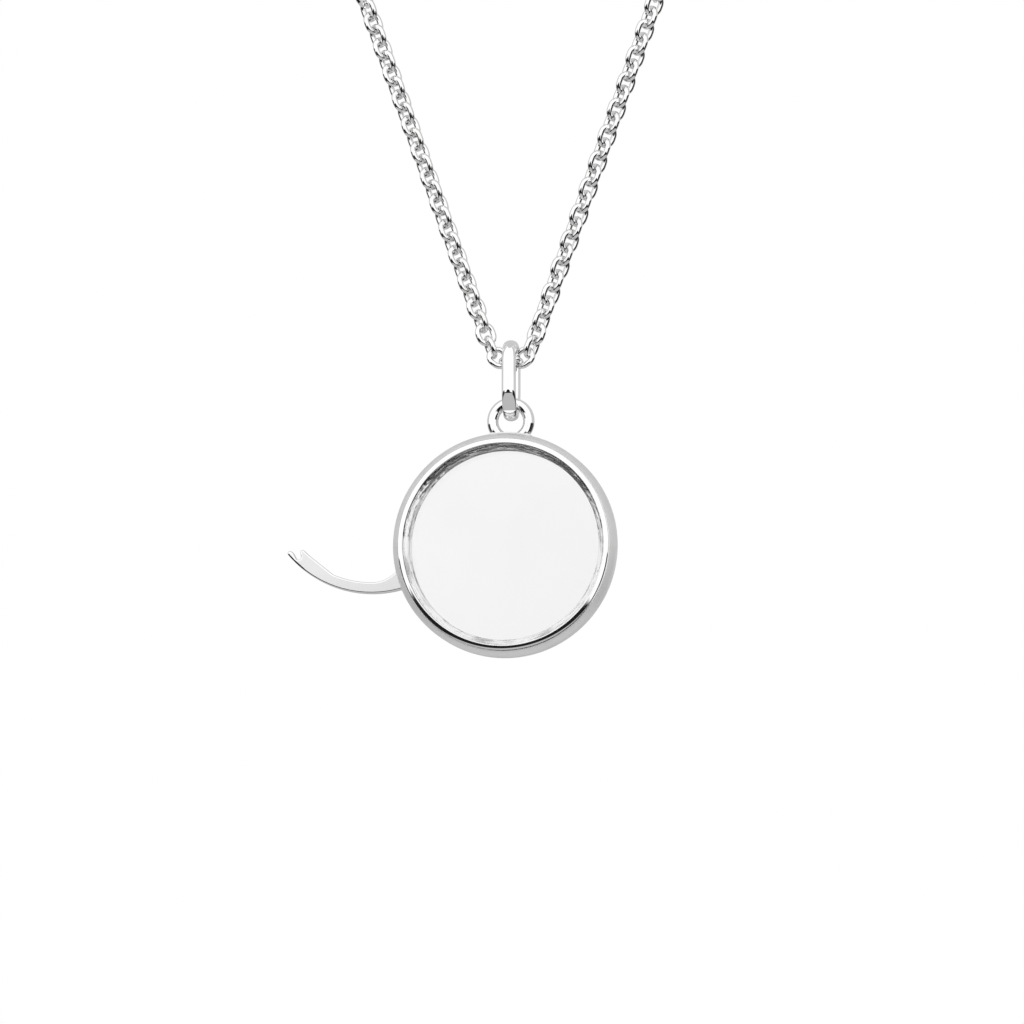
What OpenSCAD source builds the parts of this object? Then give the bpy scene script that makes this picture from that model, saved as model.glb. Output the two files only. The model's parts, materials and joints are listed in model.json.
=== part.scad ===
// Floating locket on a chain: a round see-through case whose side wall opens as a hinged gate.
// It hangs as on a neck. The front faces -Y, and the origin is where the clasp rests on the neck.
// Dimensions are in millimetres and degrees.

/* [Case] */
// Outside radius of the case
case_r = 11.25; // [11.2:0.01:11.3]
// Depth of the case from the front bezel to the back bezel
case_depth = 3.6; // [3.5:0.05:3.8]
// Radius of the window that shows inside a bezel
window_r = 10.15; // [10.1:0.01:10.18]
// Width of the rounded bezel round a window
bezel_w = 0.47; // [0.4:0.01:0.5]
// Radius of the bezel's rounded top in its section, which falls outwards
bezel_round = 0.73; // [0.6:0.01:1]
// Depth over the two shoulders, where the bezels stand on them
shoulder_depth = 2.7; // [2.6:0.05:2.8]
// Radius of the slight bulge of a shoulder in its section
shoulder_bulge = 1.1; // [0.9:0.1:2]
// Width and depth of the fine groove at the foot of a bezel
foot_groove = 0.07; // [0.05:0.01:0.1]
// Clear radius inside the lips under the windows
lip_r = 9.57; // [9.5:0.01:9.65]
// Thickness of a lip at its edge
lip_t = 0.28; // [0.2:0.01:0.32]
// Inside radius of the side wall
wall_in_r = 9.7; // [9.65:0.01:9.8]
// Lean of the hanging case, clockwise from the front
case_lean = 2.6; // [0:0.1:5]

/* [Windows] */
// Thickness of a glass
glass_t = 0.5; // [0.4:0.01:0.55]
// Play round a glass and under it
glass_play = 0.03; // [0.02:0.01:0.05]
// How far a glass lies below the top of its bezel
glass_drop = 0.25; // [0.2:0.01:0.3]
// Bevel at the outer edge of a glass
glass_bevel = 0.12; // [0.05:0.01:0.2]

/* [Gate] */
// Depth of the slot that the gate closes, between the two rings of the case
slot_depth = 1.2; // [1.1:0.02:1.24]
// Play of the gate on each side in the slot
gate_play = 0.03; // [0.02:0.01:0.05]
// Distance of the hinge from the case's centre
hinge_r = 10.69; // [10.6:0.01:10.75]
// Direction of the hinge from the case's centre, counted from the right
hinge_at = 202.4; // [200:0.1:205]
// How far the gate stands open
gate_open = 88; // [0:1:90]
// Inside radius of the gate's arm
arm_in_r = 10.1; // [10:0.01:10.2]
// Inside radius of the gate at its hinged root
root_in_r = 9.38; // [9.3:0.01:9.5]
// Angle along the rim over which the root thins to the arm
root_span = 19; // [17:0.5:20]
// Radius of the concave flare of the root
root_flare_r = 3.45; // [3.3:0.05:3.6]
// Inside radius of the forked end
fork_in_r = 9.75; // [9.7:0.01:9.85]
// Direction of the bottom of the fork's notch
fork_from = 139.3; // [139.2:0.05:139.4]
// Direction up to which the forked end keeps its full width
fork_full = 143.5; // [142.5:0.1:145]
// Direction at which the forked end has thinned to the arm
fork_to = 161; // [157:0.1:164]
// Distance of the bottom of the notch from the case's centre
notch_at_r = 10.62; // [10.6:0.01:10.65]
// Direction in which the notch opens
notch_way = 24.3; // [23:0.1:26]
// Radius of the hinge pin
hinge_pin_r = 0.25; // [0.2:0.01:0.27]
// Running clearance round the hinge pin
pin_play = 0.03; // [0.02:0.01:0.05]
// Radius of the catch pin
catch_pin_r = 0.22; // [0.2:0.01:0.23]
// Distance of the catch pin from the case's centre
catch_r = 10.47; // [10.45:0.01:10.5]
// Direction of the catch pin from the case's centre
catch_at = 137.35; // [137.2:0.05:137.5]
// End of the side wall above the gate
wall_end = 132.2; // [131.8:0.1:132.6]

/* [Loop] */
// Thickness of the round wire of the loop
loop_wire = 1.14; // [1:0.02:1.18]
// Radius of the loop at the middle of its wire
loop_r = 1.82; // [1.75:0.01:1.9]
// Height of the loop's centre above the case's centre
loop_up = 12.5; // [12.4:0.05:12.6]
// Width of the solder saddle under the loop
saddle_w = 4.3; // [3.8:0.1:4.6]
// Height of the saddle above the side wall
saddle_t = 0.12; // [0.08:0.02:0.2]
// Depth of the saddle from front to back
saddle_depth = 1.3; // [1.2:0.02:1.34]

/* [Bail] */
// Height of the bail
bail_h = 8.15; // [7.6:0.05:9]
// Depth of the bail from front to back
bail_d = 4.35; // [4.3:0.05:4.6]
// Width of the bail's wire, seen from the front
bail_w = 1.44; // [1.3:0.02:1.5]
// Thickness of the bail's wire
bail_t = 1.05; // [1:0.01:1.1]
// Height of the bail's oval lower end, at the middle of its wire
bail_end_h = 2.67; // [2.5:0.01:2.8]
// Radius of the bottom of that end, at the middle of its wire
bail_end_r = 1.1; // [1.08:0.01:1.2]
// Gap in which the loop hangs on the bail
hang_gap = 0.19; // [0.15:0.01:0.25]

/* [Chain] */
// Length of the closed necklace, with its clasp
chain_len = 450; // [400:10:600]
// Thickness of the chain across its links
chain_d = 1.62; // [1.5:0.02:1.66]
// Lean of each side of the chain
chain_lean = 19.8; // [15:0.1:25]
// Width of the chain's turn through the bail
chain_foot = 3.1; // [3:0.05:3.4]
// Radius of the bends at both sides of that turn
chain_bend = 1.7; // [1.5:0.05:1.8]

/* [Clasp] */
// Length of the clasp
clasp_len = 8; // [7:0.5:10]
// Diameter of the clasp
clasp_d = 2.6; // [2.4:0.1:3]
// Diameter of the clasp's flat ends
clasp_end_d = 2.2; // [2.1:0.05:2.3]

/* [Hidden] */
$fn = 96;
silver = [0.82, 0.83, 0.85];
slip = 0.01;
CHAIN_SIDES = 8;
NECK_STEPS = 18;
SIDE_STEPS = 14;
BEND_STEPS = 5;

// Chain route, a plain loop in the XZ plane
bend_turn = 90 - chain_lean;
bend_saving = chain_bend * (2 * tan(bend_turn / 2) - bend_turn * PI / 180);
foot_cut = chain_foot / sin(chain_lean) - chain_foot;
neck_r = (chain_len + foot_cut + 2 * bend_saving)
    / (PI * (180 + 2 * chain_lean) / 180 + 2 / tan(chain_lean));
neck_z = clasp_d / 2 - neck_r;
chain_low = neck_z - neck_r / sin(chain_lean) + chain_foot / 2 / tan(chain_lean);
bend_x = chain_foot / 2 - chain_bend * tan(bend_turn / 2);
bend_z = chain_low + chain_bend;
clasp_turn = asin(clasp_len / 2 / neck_r);

// Where the bail and the case hang
bail_bow_r = (bail_d - bail_t) / 2;
pivot_z = chain_low - bail_h + bail_d / 2 + bail_t / 2;
bail_limb = chain_low - pivot_z - bail_end_h;
bail_side_r = (pow(bail_bow_r, 2) + pow(bail_end_h, 2) - 2 * bail_end_h * bail_end_r)
    / (2 * (bail_bow_r - bail_end_r));
bail_side_turn = atan((bail_end_h - bail_end_r) / (bail_side_r - bail_bow_r));
loop_hole_r = loop_r - loop_wire / 2;
case_drop = loop_hole_r - hang_gap - bail_t / 2 + loop_up;

// Section of the case, by distance from its axis and from its middle plane
bezel_r = window_r + bezel_w;
bezel_crest = 0.05;
shoulder_h = shoulder_depth / 2;
slot_h = slot_depth / 2;
glass_top = case_depth / 2 - glass_drop;
seat_h = glass_top - glass_t - glass_play;
seat_w = 0.18;
edge_h = 0.08;
shoulder_chord = [bezel_r - case_r, shoulder_h - slot_h - edge_h];
chord_l = norm(shoulder_chord);
bulge_back = sqrt(pow(shoulder_bulge, 2) - pow(chord_l / 2, 2));
bulge_centre = [(bezel_r + case_r) / 2, (shoulder_h + slot_h + edge_h) / 2]
    - bulge_back * [shoulder_chord.y, -shoulder_chord.x] / chord_l;

// Gate, described closed, in the plane of the case
gate_r = case_r - 0.02;
gate_t = slot_depth - 2 * gate_play;
knuckle_r = gate_r - hinge_r;
pocket_r = knuckle_r + 2 * gate_play;
pocket_edge = 0.3;
pin_seat = 0.35;
pin_half = slot_h + pin_seat;
outer_jaw = 0.25;
outer_tip_at = 134.8;
inner_jaw = 0.22;
inner_tip_r = 9.97;
inner_tip_at = 139;
notch_r = 0.27;
notch_mouth = 0.36;
notch_l = 1.4;
arm_from = fork_from + 1.4;
root_at = hinge_at - root_span;
crossing = 0.02;
FAR = 2 * case_r;

// A point at a distance and a direction from the case's centre
function polar(r, at) = [r * cos(at), r * sin(at)];

// A stretch of a flat ring round the case's centre, shorter than a third of a turn
module rim_arc(in_r, out_r, from, to) {
    difference() {
        intersection() {
            circle(out_r);
            polygon([[0, 0], polar(FAR, from), polar(FAR, (from + to) / 2), polar(FAR, to)]);
        }
        circle(in_r);
    }
}

// Points of the chain's right half as [x, z, heading], from the clasp down to the bail
function neck_part() = [for (i = [0 : NECK_STEPS])
    let (turn = clasp_turn + (90 + chain_lean - clasp_turn) * i / NECK_STEPS)
    [neck_r * sin(turn), neck_z + neck_r * cos(turn), i == 0 ? 0 : -turn]];
function side_part() =
    let (top = [neck_r * cos(chain_lean), neck_z - neck_r * sin(chain_lean)],
        low = [bend_x + chain_bend * cos(chain_lean), bend_z - chain_bend * sin(chain_lean)])
    [for (i = [1 : SIDE_STEPS])
        let (at = top + (low - top) * i / SIDE_STEPS)
        [at.x, at.y, -90 - chain_lean]];
function bend_part() = [for (i = [1 : BEND_STEPS])
    let (turn = chain_lean + bend_turn * i / BEND_STEPS)
    [bend_x + chain_bend * cos(turn), bend_z - chain_bend * sin(turn), -90 - turn]];
function mirrored(points) = [for (i = [len(points) - 1 : -1 : 0])
    [-points[i].x, points[i].y, i == 0 ? 0 : -points[i].z]];
right_half = concat(neck_part(), side_part(), bend_part());
route = concat(right_half, mirrored(right_half));

function ring(at, r, sides) = [for (k = [0 : sides - 1])
    let (turn = 360 * (k + 0.5) / sides)
    [at.x - r * cos(turn) * sin(at.z), r * sin(turn), at.y + r * cos(turn) * cos(at.z)]];

module tube(points, r, sides) {
    rings = [for (at = points) ring(at, r, sides)];
    last = (len(points) - 1) * sides;
    walls = [for (i = [0 : len(points) - 2], k = [0 : sides - 1])
        let (a = i * sides + k, b = i * sides + (k + 1) % sides)
        each [[a, b, b + sides], [a, b + sides, a + sides]]];
    caps = [[for (k = [sides - 1 : -1 : 0]) k], [for (k = [0 : sides - 1]) last + k]];
    polyhedron([for (one = rings) each one], concat(walls, caps));
}

// Puts what is drawn in the plane of the case where the case hangs
module in_case() {
    translate([0, 0, pivot_z]) rotate([0, case_lean, 0]) translate([0, 0, -case_drop])
        rotate([90, 0, 0]) children();
}

module chain() {
    color(silver) tube(route, chain_d / 2 / cos(180 / CHAIN_SIDES), CHAIN_SIDES);
}

module clasp() {
    rounding = (clasp_d - clasp_end_d) / 2;
    color(silver) translate([-clasp_len / 2, 0, clasp_d / 2]) rotate([0, 90, 0])
        rotate_extrude() {
            square([clasp_end_d / 2, clasp_len]);
            translate([0, rounding]) square([clasp_d / 2, clasp_len - 2 * rounding]);
            for (end = [rounding, clasp_len - rounding])
                translate([clasp_end_d / 2, end]) circle(rounding);
        }
}

module bail_section() {
    square([bail_t, bail_w - bail_t], center = true);
    for (side = [-1, 1]) translate([0, side * (bail_w - bail_t) / 2]) circle(bail_t / 2);
}

// A bend of the bail's wire, counted from straight down towards the back
module bail_bend(centre, r, from, turn) {
    translate(centre) rotate(from) rotate_extrude(angle = turn) translate([r, 0]) bail_section();
}

// The bail lies in a plane whose X runs down and whose Y runs to the back
module bail() {
    side_back = bail_side_r - bail_bow_r;
    end_turn = 90 - bail_side_turn;
    color(silver) translate([0, 0, chain_low]) rotate([0, 90, 0]) {
        bail_bend([0, 0], bail_bow_r, 90, 180);
        for (side = [-1, 1]) {
            translate([0, side * bail_bow_r, 0]) rotate([0, 90, 0])
                linear_extrude(bail_limb) rotate(90) bail_section();
            bail_bend([bail_limb, -side * side_back], bail_side_r,
                side > 0 ? end_turn : -90, bail_side_turn);
        }
        bail_bend([bail_limb + bail_end_h - bail_end_r, 0], bail_end_r, -end_turn, 2 * end_turn);
    }
}

// Section of one ring of the case: shoulder, bezel, seat of the glass and bevelled lip
module ring_section() {
    difference() {
        union() {
            translate([wall_in_r, slot_h]) square([case_r - wall_in_r, edge_h]);
            intersection() {
                translate([lip_r, slot_h]) square([case_r - lip_r, shoulder_h - slot_h]);
                translate(bulge_centre) circle(shoulder_bulge);
            }
            intersection() {
                translate([window_r, slot_h + edge_h]) square([bezel_w, case_depth]);
                translate([window_r + bezel_crest, case_depth / 2 - bezel_round]) circle(bezel_round);
            }
        }
        translate([0, seat_h]) square([window_r, case_depth]);
        polygon([[lip_r, slot_h + lip_t], [window_r - seat_w, seat_h],
            [lip_r - 1, seat_h], [lip_r - 1, slot_h + lip_t]]);
        translate([bezel_r, shoulder_h - foot_groove]) square([foot_groove, 1]);
    }
}

// The slot that the gate closes, with room for its knuckle and for its open arm
module slot_shape() {
    polygon([[0, 0], polar(FAR, wall_end), polar(FAR, (wall_end + hinge_at) / 2),
        polar(FAR, hinge_at + pocket_edge)]);
    rotate(hinge_at) translate([hinge_r, 0]) {
        circle(pocket_r);
        square([FAR, pocket_r]);
    }
}

module pin(at, r) {
    translate([at.x, at.y, 0]) cylinder(r = r, h = 2 * pin_half, center = true);
}

module loop() {
    translate([0, loop_up, 0]) rotate_extrude() translate([loop_r, 0]) circle(loop_wire / 2);
    half_at = asin(saddle_w / 2 / case_r);
    linear_extrude(saddle_depth, center = true)
        rim_arc(case_r - 2 * saddle_t, case_r + saddle_t, 90 - half_at, 90 + half_at);
}

module locket_frame() {
    color(silver) in_case() difference() {
        union() {
            rotate_extrude() {
                translate([wall_in_r, -slot_h]) square([case_r - wall_in_r, slot_depth]);
                for (side = [0, 1]) mirror([0, side]) ring_section();
            }
            loop();
        }
        linear_extrude(slot_depth, center = true) slot_shape();
        pin(polar(hinge_r, hinge_at), hinge_pin_r + slip);
        pin(polar(catch_r, catch_at), catch_pin_r + slip);
    }
}

// A glass with its bevelled edge, towards the front
module glass() {
    glass_r = window_r - glass_play;
    translate([0, 0, glass_top - glass_t]) {
        cylinder(r = glass_r, h = glass_t - glass_bevel);
        translate([0, 0, glass_t - glass_bevel])
            cylinder(r1 = glass_r, r2 = glass_r - glass_bevel, h = glass_bevel);
    }
}

module front_glass() {
    color([0.9, 0.93, 0.95, 0.4]) in_case() glass();
}

module back_glass() {
    color([0.9, 0.93, 0.95, 0.4]) in_case() mirror([0, 0, 1]) glass();
}

module hinge_pin() {
    color(silver) in_case() pin(polar(hinge_r, hinge_at), hinge_pin_r);
}

module catch_pin() {
    color(silver) in_case() pin(polar(catch_r, catch_at), catch_pin_r);
}

// Each child drawn flat becomes a plate of the gate's thickness
module plates() {
    for (i = [0 : $children - 1]) linear_extrude(gate_t, center = true) children(i);
}

// The gate, closed: a curved arm, a thick hinged root and a two-jawed fork
module closed_gate() {
    difference() {
        plates() {
            rim_arc(arm_in_r, gate_r, arm_from, hinge_at);
            // Root, with a concave flare
            difference() {
                rim_arc(root_in_r, catch_r, root_at, hinge_at);
                translate(polar(arm_in_r + crossing - root_flare_r, root_at))
                    circle(root_flare_r);
            }
            translate(polar(hinge_r, hinge_at)) circle(knuckle_r);
            // Fork block, which thins to the arm along a straight line
            polygon([polar(inner_tip_r - inner_jaw, inner_tip_at), polar(fork_in_r, fork_full),
                polar(arm_in_r + crossing, fork_to), polar(notch_at_r, fork_full),
                polar(notch_at_r, arm_from), polar(inner_tip_r + inner_jaw, inner_tip_at)]);
            // Tip of the inner jaw, clear of the way that the catch pin comes in
            translate(polar(inner_tip_r, inner_tip_at)) circle(inner_jaw);
            // Outer jaw
            rim_arc(gate_r - 2 * outer_jaw, gate_r, outer_tip_at, arm_from);
            translate(polar(gate_r - outer_jaw, outer_tip_at)) circle(outer_jaw);
        }
        // Notch for the catch pin
        translate(polar(notch_at_r, fork_from)) rotate(notch_way) {
            cylinder(r = notch_r, h = slot_depth, center = true);
            linear_extrude(slot_depth, center = true) polygon([[0, -notch_r], [0, notch_r],
                [notch_l, notch_mouth], [notch_l, -notch_mouth]]);
        }
        translate(polar(hinge_r, hinge_at))
            cylinder(r = hinge_pin_r + pin_play, h = slot_depth, center = true);
    }
}

module gate() {
    color(silver) in_case() translate(polar(hinge_r, hinge_at)) rotate(gate_open)
        translate(-polar(hinge_r, hinge_at)) closed_gate();
}

chain();
clasp();
bail();
locket_frame();
front_glass();
back_glass();
hinge_pin();
catch_pin();
gate();
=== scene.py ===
# %% [markdown]
# ## A floating locket on its chain
# The piece is a round silver case with a window in front and one behind. Its side wall opens as a
# hinged gate, and it hangs by a loop from an oval bail on a fine chain.
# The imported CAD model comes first, because it says where every part is and how it moves. All that
# follows is built around it, in metres.

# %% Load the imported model
import json
from math import asin, atan2, cos, degrees, hypot, pi, radians, sin, sqrt, tan

import bmesh
import bpy
from mathutils import Matrix, Vector


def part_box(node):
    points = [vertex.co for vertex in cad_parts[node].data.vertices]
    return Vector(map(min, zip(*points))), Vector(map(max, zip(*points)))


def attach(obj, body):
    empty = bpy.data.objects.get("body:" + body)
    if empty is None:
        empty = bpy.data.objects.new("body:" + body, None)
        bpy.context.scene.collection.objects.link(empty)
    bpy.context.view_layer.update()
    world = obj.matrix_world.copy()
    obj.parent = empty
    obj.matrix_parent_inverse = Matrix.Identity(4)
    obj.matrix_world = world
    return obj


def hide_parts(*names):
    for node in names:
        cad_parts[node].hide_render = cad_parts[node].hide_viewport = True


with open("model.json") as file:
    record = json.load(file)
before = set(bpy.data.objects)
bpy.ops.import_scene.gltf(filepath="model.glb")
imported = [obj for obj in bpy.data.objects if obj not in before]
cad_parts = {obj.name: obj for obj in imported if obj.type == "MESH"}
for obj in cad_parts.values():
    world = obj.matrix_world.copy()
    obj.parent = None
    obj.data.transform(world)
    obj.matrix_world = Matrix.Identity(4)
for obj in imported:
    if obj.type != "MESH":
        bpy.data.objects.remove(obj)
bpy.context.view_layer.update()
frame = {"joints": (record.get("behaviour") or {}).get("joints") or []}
JOINTS = {joint["name"]: joint for joint in frame["joints"]}

# %% [markdown]
# ## Where the case hangs
# The case is drawn flat, in millimetres, with its centre at the origin and its front towards +Z.
# It could be drawn where it hangs, but the lean would then hide every plain measure. So one matrix
# carries it to its place: stood up, hung below the bail and leaned by the real one's few degrees.

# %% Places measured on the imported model
MM = 0.001
MILLIMETRES = Matrix.Scale(MM, 4)


def corners(name):
    low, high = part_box(name)
    return low / MM, high / MM


glass_low, glass_high = corners("front_glass")
CASE_CENTRE = Vector(((glass_low.x + glass_high.x) / 2, 0, (glass_low.z + glass_high.z) / 2))
PIVOT = Vector(JOINTS["locket_sway"]["pos_m"]) / MM
LEAN = atan2(PIVOT.x - CASE_CENTRE.x, PIVOT.z - CASE_CENTRE.z)
IN_CASE = MILLIMETRES @ Matrix.Translation(CASE_CENTRE) @ Matrix.Rotation(LEAN, 4, "Y") \
    @ Matrix.Rotation(radians(90), 4, "X")
print("case centre", [round(c, 3) for c in CASE_CENTRE], "lean", round(degrees(LEAN), 2))

# %% [markdown]
# ## Camera
# The picture was taken with a long lens, a little from the right and from a little below, so that
# all lines of sight rise and no floor shows. A millimetre at the locket fills ten pixels. A short
# lens from close by would fill the frame as well, but would look round the side of the rim.

# %% Camera at the photograph's angle
VIEW_AZ, VIEW_EL = 8.0, -6.0
VIEW_DISTANCE = 1.2
VIEW_WIDTH = 0.1024
AIM = Vector((0.00009, 0, -0.20175))


def way(azimuth, elevation):
    """Unit vector from the object towards a viewer at that azimuth and elevation."""
    az, el = radians(azimuth), radians(elevation)
    return Vector((sin(az) * cos(el), -cos(az) * cos(el), sin(el)))


lens = bpy.data.cameras.new("long_lens")
lens.sensor_width = 36
lens.lens = lens.sensor_width * VIEW_DISTANCE / VIEW_WIDTH
lens.clip_start, lens.clip_end = 0.05, 50
camera = bpy.data.objects.new("camera", lens)
bpy.context.scene.collection.objects.link(camera)
camera.location = AIM + way(VIEW_AZ, VIEW_EL) * VIEW_DISTANCE
camera.rotation_mode = "QUATERNION"
camera.rotation_quaternion = (-way(VIEW_AZ, VIEW_EL)).to_track_quat("-Z", "Y")
bpy.context.scene.camera = camera
bpy.context.scene.view_settings.view_transform = "Standard"
print("lens", round(lens.lens), "mm")

# %% [markdown]
# ## Helpers for the modelling
# Every section and outline is drawn as with a pen: a single vertex is extruded to the next point,
# or spun round a centre to draw an arc. The closed line is then spun, extruded or filled. Points
# could be typed in as a list, but a stroke keeps an arc's centre and turn as a drawing gives them.

# %% Pen strokes
def draw(bm, start, strokes, close=True):
    """Draws a line in the XY plane. A stroke is a point (x, y), or an arc (x, y, turn, steps)."""
    pen = first = bm.verts.new((*start, 0))
    line = [first]
    for stroke in strokes:
        if len(stroke) == 2:
            pen = bmesh.ops.extrude_vert_indiv(bm, verts=[pen])["verts"][0]
            pen.co = (*stroke, 0)
            line.append(pen)
        else:
            x, y, turn, steps = stroke
            before = set(bm.verts)
            last = bmesh.ops.spin(bm, geom=[pen], cent=(x, y, 0), axis=(0, 0, 1),
                                  angle=radians(turn), steps=steps)["geom_last"]
            line.extend(v for v in bm.verts if v not in before)
            pen = next(v for v in last if isinstance(v, bmesh.types.BMVert))
    if close:
        bm.edges.new((pen, first))
        bmesh.ops.remove_doubles(bm, verts=line, dist=0.004)
    return line


def polar(r, at):
    return r * cos(radians(at)), r * sin(radians(at))


# %% From a mesh to a piece
def verts_of(geometry):
    return [g for g in geometry if isinstance(g, bmesh.types.BMVert)]


def sharpen(bm, limit=40):
    """Smooth faces, with a crease at each edge sharper than the limit."""
    for face in bm.faces:
        face.smooth = True
    for edge in bm.edges:
        edge.smooth = not (edge.is_manifold and edge.calc_face_angle() > radians(limit))


def soften_edges(bm, width, segments=3, limit=40):
    """Bevels the edges that are sharper than the limit, as polishing rounds them."""
    edges = [e for e in bm.edges if e.is_manifold and e.calc_face_angle() > radians(limit)]
    bmesh.ops.bevel(bm, geom=edges, offset=width, segments=segments, profile=0.5,
                    affect="EDGES", material=-1, clamp_overlap=True)


def carved(bm, cutter):
    """The first closed mesh with the second one cut out of it."""
    made = []
    for source in (bm, cutter):
        mesh = bpy.data.meshes.new("carving")
        source.to_mesh(mesh)
        source.free()
        made.append(bpy.data.objects.new("carving", mesh))
        bpy.context.scene.collection.objects.link(made[-1])
    cut = made[0].modifiers.new("cut", "BOOLEAN")
    cut.operation, cut.solver, cut.object = "DIFFERENCE", "EXACT", made[1]
    evaluated = made[0].evaluated_get(bpy.context.evaluated_depsgraph_get())
    result = bpy.data.meshes.new_from_object(evaluated)
    rest = bmesh.new()
    rest.from_mesh(result)
    for mesh in [made[0].data, made[1].data, result]:
        bpy.data.meshes.remove(mesh)
    return rest


def finish_piece(bm, name, body, place, materials, replaced=(), weighted=True):
    """Puts a mesh drawn in millimetres in its place and makes it a piece of the object."""
    bmesh.ops.remove_doubles(bm, verts=bm.verts, dist=1e-4)
    bmesh.ops.recalc_face_normals(bm, faces=bm.faces)
    if bm.calc_volume(signed=True) < 0:
        bmesh.ops.reverse_faces(bm, faces=bm.faces)
    sharpen(bm)
    open_edges = sum(not e.is_manifold for e in bm.edges)
    bmesh.ops.transform(bm, matrix=place, verts=bm.verts)
    mesh = bpy.data.meshes.new(name)
    bm.to_mesh(mesh)
    bm.free()
    for material in materials:
        mesh.materials.append(material)
    piece = bpy.data.objects.new(name, mesh)
    bpy.context.scene.collection.objects.link(piece)
    if weighted:
        piece.modifiers.new("even shading", "WEIGHTED_NORMAL").keep_sharp = True
    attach(piece, body)
    if replaced:
        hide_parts(*replaced)
    print(name, len(mesh.polygons), "faces", open_edges, "open edges")


# %% [markdown]
# ## Finishes
# Gate, bail, loop and chain are polished silver, and so is the bezel round each window. The shoulder
# outside the bezel is satin, and the lip inside it is burnished. Polished silver has hardly a colour
# of its own: it is a mirror, and what makes it look like silver is what it reflects. A grey paint
# would look the same in any light, so each finish is a metal with very fine variation: hairlines
# from polishing, and soft clouds of the faintest tarnish.

# %% Node helpers
def connect(tree, source, target):
    tree.links.new(source, target)


def node(tree, kind, **settings):
    made = tree.nodes.new(kind)
    for key, value in settings.items():
        setattr(made, key, value)
    return made


def maths(tree, operation, *values):
    """A Math node fed with numbers or sockets. Returns its output."""
    made = node(tree, "ShaderNodeMath", operation=operation)
    for i, value in enumerate(values):
        if isinstance(value, (int, float)):
            made.inputs[i].default_value = value
        else:
            connect(tree, value, made.inputs[i])
    return made.outputs[0]


def remap(tree, value, low, high, to_low, to_high, smooth=True):
    made = node(tree, "ShaderNodeMapRange", interpolation_type="SMOOTHSTEP" if smooth else "LINEAR")
    connect(tree, value, made.inputs["Value"])
    limits = {"From Min": low, "From Max": high, "To Min": to_low, "To Max": to_high}
    for name, number in limits.items():
        made.inputs[name].default_value = number
    return made.outputs[0]


def new_group(name, inputs, outputs):
    """An empty node group with named sockets, and its two end nodes."""
    group = bpy.data.node_groups.new(name, "ShaderNodeTree")
    for label, kind, value in inputs:
        socket = group.interface.new_socket(label, in_out="INPUT", socket_type=kind)
        if value is not None:
            socket.default_value = value
    for label, kind in outputs:
        group.interface.new_socket(label, in_out="OUTPUT", socket_type=kind)
    return group, node(group, "NodeGroupInput"), node(group, "NodeGroupOutput")


# %% [markdown]
# ### Hand polish
# A polished jewel keeps hairlines from the buff, which run any way, and its gloss changes a little
# from place to place. A single roughness would make it look like plastic film. The group gives a
# roughness and a height. It is built once, and each silver sets how fine the lines are.

# %% Group: hand polish
FLOAT, COLOUR, VECTOR = "NodeSocketFloat", "NodeSocketColor", "NodeSocketVector"
LINE_SHARE = 0.35
NOISE_LOW, NOISE_HIGH = 0.35, 0.65
polish, p_in, p_out = new_group(
    "Hand polish",
    [("Vector", VECTOR, None), ("Lines per metre", FLOAT, 9000.0), ("Smoothest", FLOAT, 0.04),
     ("Roughest", FLOAT, 0.12), ("Clouds per metre", FLOAT, 420.0)],
    [("Roughness", FLOAT), ("Height", FLOAT)])
cloud = node(polish, "ShaderNodeTexNoise")
connect(polish, p_in.outputs["Vector"], cloud.inputs["Vector"])
connect(polish, p_in.outputs["Clouds per metre"], cloud.inputs["Scale"])
cloud.inputs["Detail"].default_value = 3
lines = node(polish, "ShaderNodeTexNoise")
connect(polish, p_in.outputs["Vector"], lines.inputs["Vector"])
connect(polish, p_in.outputs["Lines per metre"], lines.inputs["Scale"])
lines.inputs["Detail"].default_value = 2
mixed = maths(polish, "MULTIPLY_ADD", lines.outputs["Fac"], LINE_SHARE,
              maths(polish, "MULTIPLY", cloud.outputs["Fac"], 1 - LINE_SHARE))
shade = node(polish, "ShaderNodeMapRange", interpolation_type="SMOOTHSTEP")
connect(polish, mixed, shade.inputs["Value"])
shade.inputs["From Min"].default_value = NOISE_LOW
shade.inputs["From Max"].default_value = NOISE_HIGH
connect(polish, p_in.outputs["Smoothest"], shade.inputs["To Min"])
connect(polish, p_in.outputs["Roughest"], shade.inputs["To Max"])
connect(polish, shade.outputs[0], p_out.inputs["Roughness"])
connect(polish, lines.outputs["Fac"], p_out.inputs["Height"])
print("group", polish.name)

# %% [markdown]
# ### Breath of tarnish
# Silver yellows and greys by a trace, in soft clouds. An image could be painted for it, but noise
# needs no unwrapping. The group mixes the clean metal's colour with a slightly duller one.

# %% Group: breath of tarnish
DULL_FROM, DULL_TO = 0.42, 0.72
tarnish, t_in, t_out = new_group(
    "Breath of tarnish",
    [("Vector", VECTOR, None), ("Clean", COLOUR, (0.97, 0.97, 0.97, 1)),
     ("Dull", COLOUR, (0.90, 0.90, 0.89, 1)), ("Clouds per metre", FLOAT, 300.0)],
    [("Color", COLOUR)])
clouds = node(tarnish, "ShaderNodeTexNoise")
connect(tarnish, t_in.outputs["Vector"], clouds.inputs["Vector"])
connect(tarnish, t_in.outputs["Clouds per metre"], clouds.inputs["Scale"])
clouds.inputs["Detail"].default_value = 4
blend = node(tarnish, "ShaderNodeMix", data_type="RGBA")
dullness = remap(tarnish, clouds.outputs["Fac"], DULL_FROM, DULL_TO, 0, 1)
connect(tarnish, dullness, blend.inputs["Factor"])
connect(tarnish, t_in.outputs["Clean"], blend.inputs["A"])
connect(tarnish, t_in.outputs["Dull"], blend.inputs["B"])
connect(tarnish, blend.outputs["Result"], t_out.inputs["Color"])
print("group", tarnish.name)

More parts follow.
